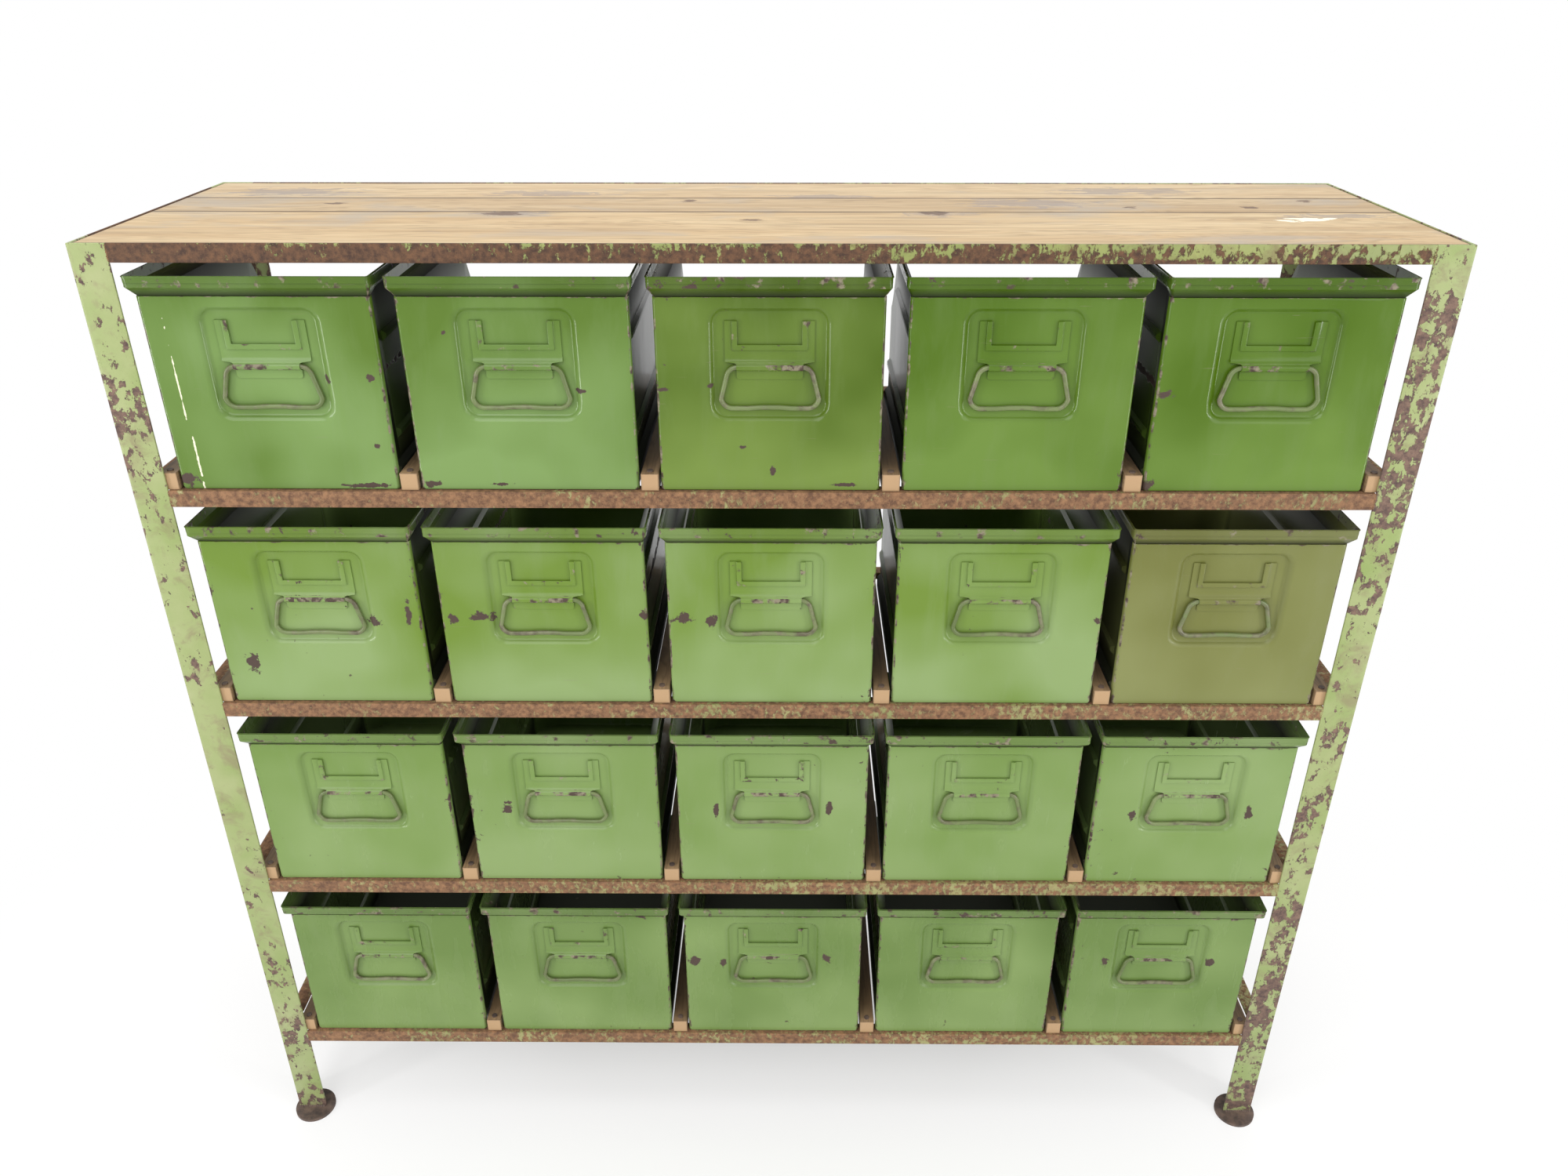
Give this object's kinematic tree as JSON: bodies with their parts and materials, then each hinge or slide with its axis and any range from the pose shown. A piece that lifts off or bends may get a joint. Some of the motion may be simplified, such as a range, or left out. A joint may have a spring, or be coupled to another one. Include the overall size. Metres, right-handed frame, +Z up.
{
  "type": "steel bin storage rack",
  "caption": "Open angle-iron storage rack with a plank top; its shelves hold pull-out steel stacking bins with drop handles and label holders.",
  "frame": {"origin": "on the floor under the middle of the rack's footprint", "axes": "+Z up, +X to the right seen from the front, the bins pull out towards -Y"},
  "size_m": [1.451, 0.4338, 1.29],
  "materials": {
    "bin_paint": "glossy green paint, edges worn to bare metal",
    "handle_paint": "worn green paint over browned steel wire",
    "post_paint": "light green paint, flaking to purple-brown rust",
    "rail_paint": "rusty brown with the rest of a light green paint",
    "foot_steel": "dark rusted steel",
    "top_pine": "worn pine boards with stains and knots",
    "strip_wood": "sawn, unpainted",
    "screw_steel": "dull steel"
  },
  "bodies": {
    "rack": {"post_front_left": "post_paint", "post_front_right": "post_paint", "post_rear_left": "post_paint", "post_rear_right": "post_paint", "foot_discs": "foot_steel", "top_rail_front": "rail_paint", "top_rail_rear": "rail_paint", "top_rails_side": "rail_paint", "top_plank_front": "top_pine", "top_plank_middle": "top_pine", "top_plank_rear": "top_pine", "shelf_rails_r1": "rail_paint", "shelf_rails_r2": "rail_paint", "shelf_rails_r3": "rail_paint", "shelf_rails_r4": "rail_paint", "guide_strips_r1": "strip_wood", "guide_strips_r2": "strip_wood", "guide_strips_r3": "strip_wood", "guide_strips_r4": "strip_wood", "strip_screws": "screw_steel"},
    "bin_r1_c1": {"bin_r1_c1": "bin_paint"},
    "handle_r1_c1": {"handle_r1_c1": "handle_paint"},
    "bin_r1_c2": {"bin_r1_c2": "bin_paint"},
    "handle_r1_c2": {"handle_r1_c2": "handle_paint"},
    "bin_r1_c3": {"bin_r1_c3": "bin_paint"},
    "handle_r1_c3": {"handle_r1_c3": "handle_paint"},
    "bin_r1_c4": {"bin_r1_c4": "bin_paint"},
    "handle_r1_c4": {"handle_r1_c4": "handle_paint"},
    "bin_r1_c5": {"bin_r1_c5": "bin_paint"},
    "handle_r1_c5": {"handle_r1_c5": "handle_paint"},
    "bin_r2_c1": {"bin_r2_c1": "bin_paint"},
    "handle_r2_c1": {"handle_r2_c1": "handle_paint"},
    "bin_r2_c2": {"bin_r2_c2": "bin_paint"},
    "handle_r2_c2": {"handle_r2_c2": "handle_paint"},
    "bin_r2_c3": {"bin_r2_c3": "bin_paint"},
    "handle_r2_c3": {"handle_r2_c3": "handle_paint"},
    "bin_r2_c4": {"bin_r2_c4": "bin_paint"},
    "handle_r2_c4": {"handle_r2_c4": "handle_paint"},
    "bin_r2_c5": {"bin_r2_c5": "bin_paint"},
    "handle_r2_c5": {"handle_r2_c5": "handle_paint"},
    "bin_r3_c1": {"bin_r3_c1": "bin_paint"},
    "handle_r3_c1": {"handle_r3_c1": "handle_paint"},
    "bin_r3_c2": {"bin_r3_c2": "bin_paint"},
    "handle_r3_c2": {"handle_r3_c2": "handle_paint"},
    "bin_r3_c3": {"bin_r3_c3": "bin_paint"},
    "handle_r3_c3": {"handle_r3_c3": "handle_paint"},
    "bin_r3_c4": {"bin_r3_c4": "bin_paint"},
    "handle_r3_c4": {"handle_r3_c4": "handle_paint"},
    "bin_r3_c5": {"bin_r3_c5": "bin_paint"},
    "handle_r3_c5": {"handle_r3_c5": "handle_paint"},
    "bin_r4_c1": {"bin_r4_c1": "bin_paint"},
    "handle_r4_c1": {"handle_r4_c1": "handle_paint"},
    "bin_r4_c2": {"bin_r4_c2": "bin_paint"},
    "handle_r4_c2": {"handle_r4_c2": "handle_paint"},
    "bin_r4_c3": {"bin_r4_c3": "bin_paint"},
    "handle_r4_c3": {"handle_r4_c3": "handle_paint"},
    "bin_r4_c4": {"bin_r4_c4": "bin_paint"},
    "handle_r4_c4": {"handle_r4_c4": "handle_paint"},
    "bin_r4_c5": {"bin_r4_c5": "bin_paint"},
    "handle_r4_c5": {"handle_r4_c5": "handle_paint"}
  },
  "joints": [
    {"name": "bin_r1_c1_slide", "type": "slide", "parent": "rack", "child": "bin_r1_c1", "axis": [0, -1, 0], "range_m": [0, 0.36]},
    {"name": "bin_r1_c2_slide", "type": "slide", "parent": "rack", "child": "bin_r1_c2", "axis": [0, -1, 0], "range_m": [0, 0.36]},
    {"name": "bin_r1_c3_slide", "type": "slide", "parent": "rack", "child": "bin_r1_c3", "axis": [0, -1, 0], "range_m": [0, 0.36]},
    {"name": "bin_r1_c4_slide", "type": "slide", "parent": "rack", "child": "bin_r1_c4", "axis": [0, -1, 0], "range_m": [0, 0.36]},
    {"name": "bin_r1_c5_slide", "type": "slide", "parent": "rack", "child": "bin_r1_c5", "axis": [0, -1, 0], "range_m": [0, 0.36]},
    {"name": "bin_r2_c1_slide", "type": "slide", "parent": "rack", "child": "bin_r2_c1", "axis": [0, -1, 0], "range_m": [0, 0.36]},
    {"name": "bin_r2_c2_slide", "type": "slide", "parent": "rack", "child": "bin_r2_c2", "axis": [0, -1, 0], "range_m": [0, 0.36]},
    {"name": "bin_r2_c3_slide", "type": "slide", "parent": "rack", "child": "bin_r2_c3", "axis": [0, -1, 0], "range_m": [0, 0.36]},
    {"name": "bin_r2_c4_slide", "type": "slide", "parent": "rack", "child": "bin_r2_c4", "axis": [0, -1, 0], "range_m": [0, 0.36]},
    {"name": "bin_r2_c5_slide", "type": "slide", "parent": "rack", "child": "bin_r2_c5", "axis": [0, -1, 0], "range_m": [0, 0.36]},
    {"name": "bin_r3_c1_slide", "type": "slide", "parent": "rack", "child": "bin_r3_c1", "axis": [0, -1, 0], "range_m": [0, 0.36]},
    {"name": "bin_r3_c2_slide", "type": "slide", "parent": "rack", "child": "bin_r3_c2", "axis": [0, -1, 0], "range_m": [0, 0.36]},
    {"name": "bin_r3_c3_slide", "type": "slide", "parent": "rack", "child": "bin_r3_c3", "axis": [0, -1, 0], "range_m": [0, 0.36]},
    {"name": "bin_r3_c4_slide", "type": "slide", "parent": "rack", "child": "bin_r3_c4", "axis": [0, -1, 0], "range_m": [0, 0.36]},
    {"name": "bin_r3_c5_slide", "type": "slide", "parent": "rack", "child": "bin_r3_c5", "axis": [0, -1, 0], "range_m": [0, 0.36]},
    {"name": "bin_r4_c1_slide", "type": "slide", "parent": "rack", "child": "bin_r4_c1", "axis": [0, -1, 0], "range_m": [0, 0.36]},
    {"name": "bin_r4_c2_slide", "type": "slide", "parent": "rack", "child": "bin_r4_c2", "axis": [0, -1, 0], "range_m": [0, 0.36]},
    {"name": "bin_r4_c3_slide", "type": "slide", "parent": "rack", "child": "bin_r4_c3", "axis": [0, -1, 0], "range_m": [0, 0.36]},
    {"name": "bin_r4_c4_slide", "type": "slide", "parent": "rack", "child": "bin_r4_c4", "axis": [0, -1, 0], "range_m": [0, 0.36]},
    {"name": "bin_r4_c5_slide", "type": "slide", "parent": "rack", "child": "bin_r4_c5", "axis": [0, -1, 0], "range_m": [0, 0.36]},
    {"name": "handle_r1_c1_hinge", "type": "hinge", "parent": "bin_r1_c1", "child": "handle_r1_c1", "pos_m": [-0.542, -0.1829, 1.1582], "axis": [-1, 0, 0], "range_deg": [0, 110]},
    {"name": "handle_r1_c2_hinge", "type": "hinge", "parent": "bin_r1_c2", "child": "handle_r1_c2", "pos_m": [-0.271, -0.1829, 1.1582], "axis": [-1, 0, 0], "range_deg": [0, 110]},
    {"name": "handle_r1_c3_hinge", "type": "hinge", "parent": "bin_r1_c3", "child": "handle_r1_c3", "pos_m": [0, -0.1829, 1.1582], "axis": [-1, 0, 0], "range_deg": [0, 110]},
    {"name": "handle_r1_c4_hinge", "type": "hinge", "parent": "bin_r1_c4", "child": "handle_r1_c4", "pos_m": [0.271, -0.1829, 1.1582], "axis": [-1, 0, 0], "range_deg": [0, 110]},
    {"name": "handle_r1_c5_hinge", "type": "hinge", "parent": "bin_r1_c5", "child": "handle_r1_c5", "pos_m": [0.542, -0.1829, 1.1582], "axis": [-1, 0, 0], "range_deg": [0, 110]},
    {"name": "handle_r2_c1_hinge", "type": "hinge", "parent": "bin_r2_c1", "child": "handle_r2_c1", "pos_m": [-0.542, -0.1829, 0.8738], "axis": [-1, 0, 0], "range_deg": [0, 110]},
    {"name": "handle_r2_c2_hinge", "type": "hinge", "parent": "bin_r2_c2", "child": "handle_r2_c2", "pos_m": [-0.271, -0.1829, 0.8738], "axis": [-1, 0, 0], "range_deg": [0, 110]},
    {"name": "handle_r2_c3_hinge", "type": "hinge", "parent": "bin_r2_c3", "child": "handle_r2_c3", "pos_m": [0, -0.1829, 0.8738], "axis": [-1, 0, 0], "range_deg": [0, 110]},
    {"name": "handle_r2_c4_hinge", "type": "hinge", "parent": "bin_r2_c4", "child": "handle_r2_c4", "pos_m": [0.271, -0.1829, 0.8738], "axis": [-1, 0, 0], "range_deg": [0, 110]},
    {"name": "handle_r2_c5_hinge", "type": "hinge", "parent": "bin_r2_c5", "child": "handle_r2_c5", "pos_m": [0.542, -0.1829, 0.8738], "axis": [-1, 0, 0], "range_deg": [0, 110]},
    {"name": "handle_r3_c1_hinge", "type": "hinge", "parent": "bin_r3_c1", "child": "handle_r3_c1", "pos_m": [-0.542, -0.1829, 0.5894], "axis": [-1, 0, 0], "range_deg": [0, 110]},
    {"name": "handle_r3_c2_hinge", "type": "hinge", "parent": "bin_r3_c2", "child": "handle_r3_c2", "pos_m": [-0.271, -0.1829, 0.5894], "axis": [-1, 0, 0], "range_deg": [0, 110]},
    {"name": "handle_r3_c3_hinge", "type": "hinge", "parent": "bin_r3_c3", "child": "handle_r3_c3", "pos_m": [0, -0.1829, 0.5894], "axis": [-1, 0, 0], "range_deg": [0, 110]},
    {"name": "handle_r3_c4_hinge", "type": "hinge", "parent": "bin_r3_c4", "child": "handle_r3_c4", "pos_m": [0.271, -0.1829, 0.5894], "axis": [-1, 0, 0], "range_deg": [0, 110]},
    {"name": "handle_r3_c5_hinge", "type": "hinge", "parent": "bin_r3_c5", "child": "handle_r3_c5", "pos_m": [0.542, -0.1829, 0.5894], "axis": [-1, 0, 0], "range_deg": [0, 110]},
    {"name": "handle_r4_c1_hinge", "type": "hinge", "parent": "bin_r4_c1", "child": "handle_r4_c1", "pos_m": [-0.542, -0.1829, 0.305], "axis": [-1, 0, 0], "range_deg": [0, 110]},
    {"name": "handle_r4_c2_hinge", "type": "hinge", "parent": "bin_r4_c2", "child": "handle_r4_c2", "pos_m": [-0.271, -0.1829, 0.305], "axis": [-1, 0, 0], "range_deg": [0, 110]},
    {"name": "handle_r4_c3_hinge", "type": "hinge", "parent": "bin_r4_c3", "child": "handle_r4_c3", "pos_m": [0, -0.1829, 0.305], "axis": [-1, 0, 0], "range_deg": [0, 110]},
    {"name": "handle_r4_c4_hinge", "type": "hinge", "parent": "bin_r4_c4", "child": "handle_r4_c4", "pos_m": [0.271, -0.1829, 0.305], "axis": [-1, 0, 0], "range_deg": [0, 110]},
    {"name": "handle_r4_c5_hinge", "type": "hinge", "parent": "bin_r4_c5", "child": "handle_r4_c5", "pos_m": [0.542, -0.1829, 0.305], "axis": [-1, 0, 0], "range_deg": [0, 110]}
  ]
}
